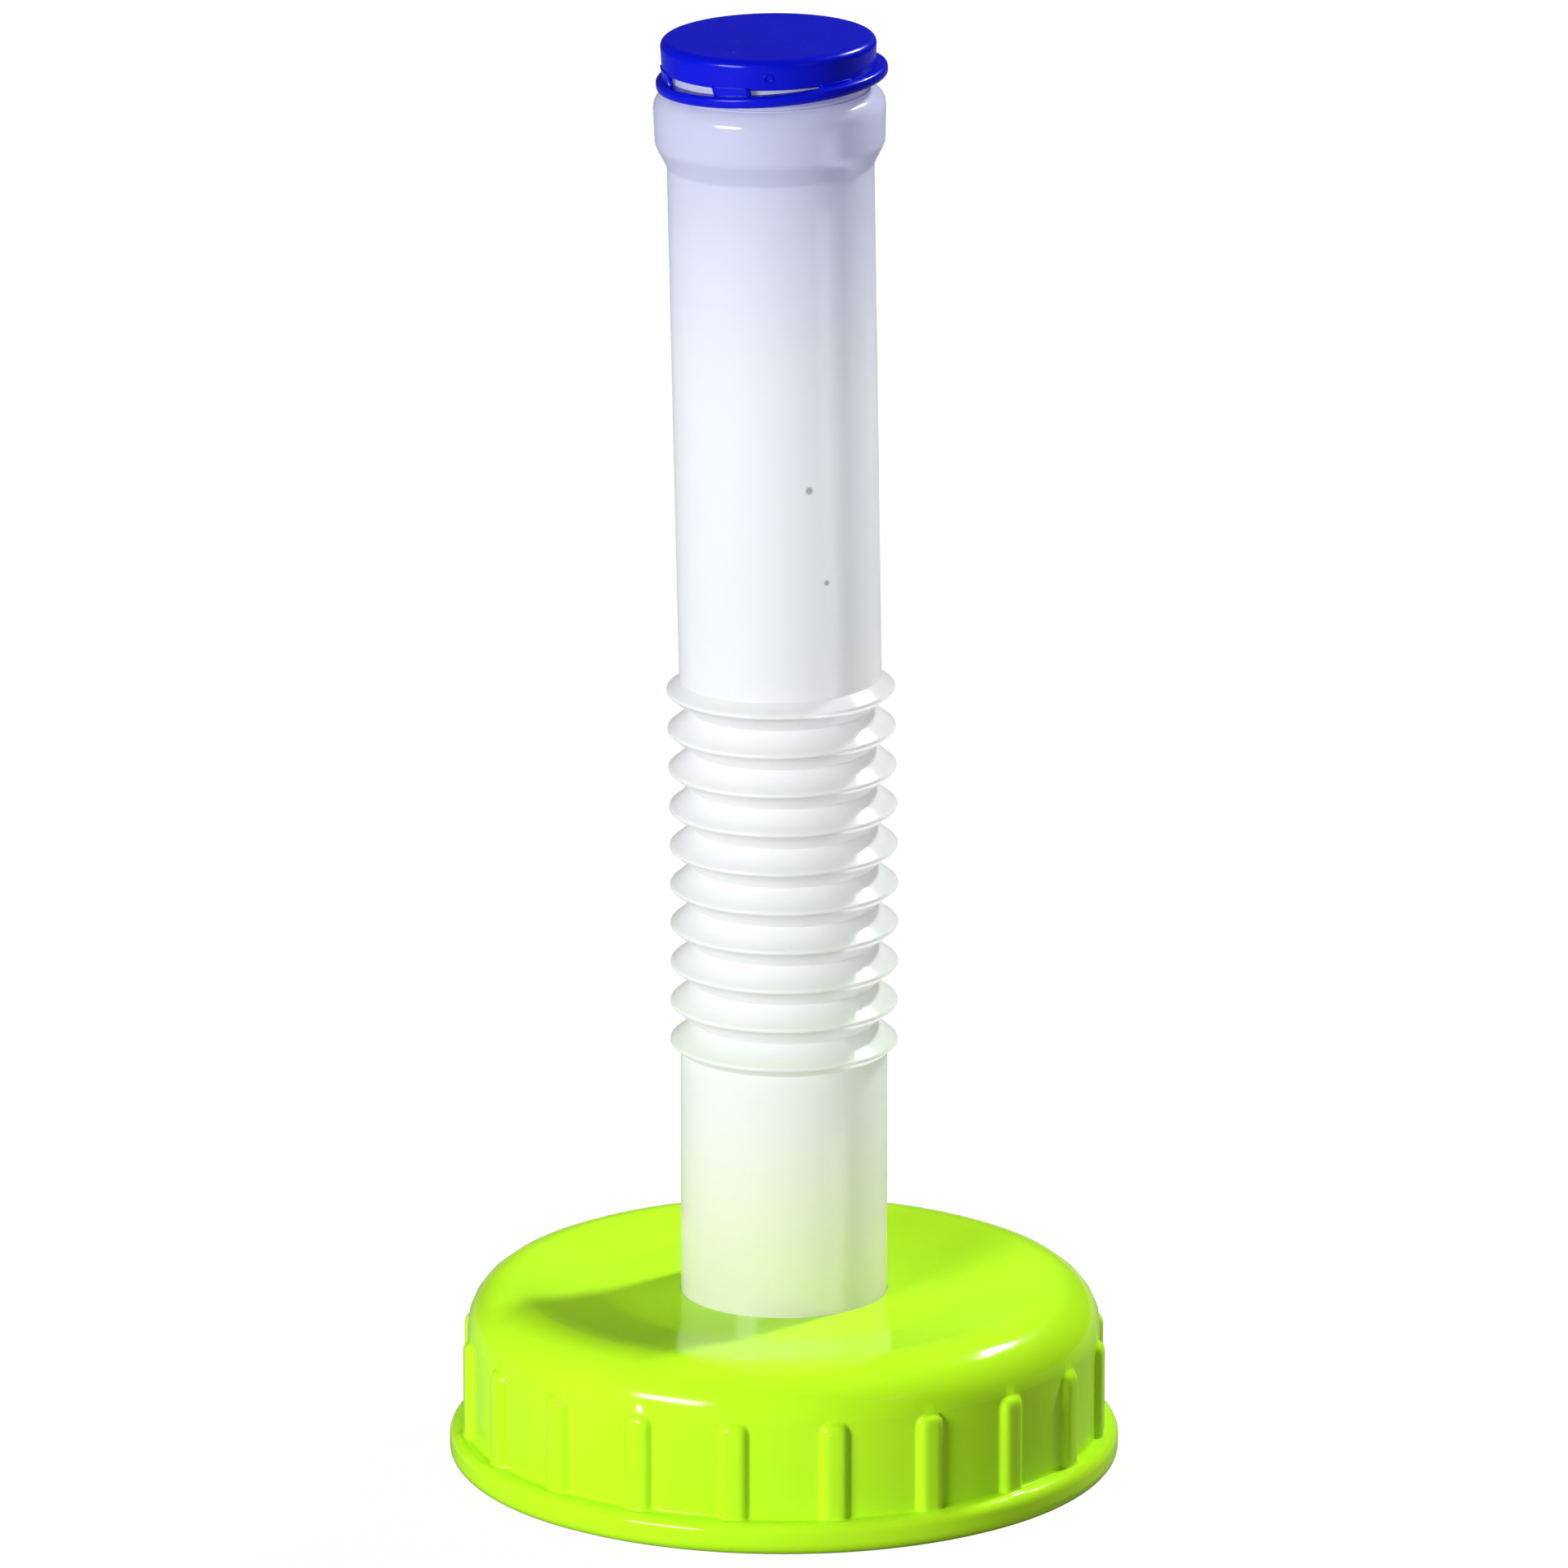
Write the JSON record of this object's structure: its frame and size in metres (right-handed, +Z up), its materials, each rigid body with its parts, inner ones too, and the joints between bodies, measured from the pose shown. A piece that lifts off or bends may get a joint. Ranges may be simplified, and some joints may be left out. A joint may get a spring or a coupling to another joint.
{
  "type": "jerry can spout",
  "caption": "Flexible canister pouring spout: ribbed screw cap with a gasket, swivelling tube with a bellows, and a push-fit end cap.",
  "frame": {"origin": "centre of the screw cap's open end, in the plane that it stands on", "axes": "+Z up the screw cap's axis towards the end cap, -Y towards the side with the moulding mark, +X to that side's right"},
  "size_m": [0.0716, 0.0716, 0.1559],
  "materials": {
    "lime_plastic": "glossy",
    "gasket_rubber": "matte",
    "milky_plastic": "satin, translucent",
    "blue_plastic": "glossy"
  },
  "bodies": {
    "screw_cap": {"screw_cap": "lime_plastic", "gasket": "gasket_rubber"},
    "spout_foot": {"spout_foot": "milky_plastic", "bellows": "milky_plastic"},
    "spout_barrel": {"spout_barrel": "milky_plastic"},
    "end_cap": {"end_cap": "blue_plastic"}
  },
  "joints": [
    {"name": "spout_swivel", "type": "hinge", "parent": "screw_cap", "child": "spout_foot", "pos_m": [0, 0, 0.0185], "axis": [0, 0, 1], "continuous": true},
    {"name": "bellows_bend", "type": "hinge", "parent": "spout_foot", "child": "spout_barrel", "pos_m": [0, 0, 0.06563], "axis": [0, 1, 0], "range_deg": [-60, 60], "stiffness_Nm_per_rad": 0.1, "deforming": ["bellows"]},
    {"name": "end_cap_pull", "type": "slide", "parent": "spout_barrel", "child": "end_cap", "axis": [-0.0183, 0, 0.9998], "range_m": [0, 0.03]}
  ]
}
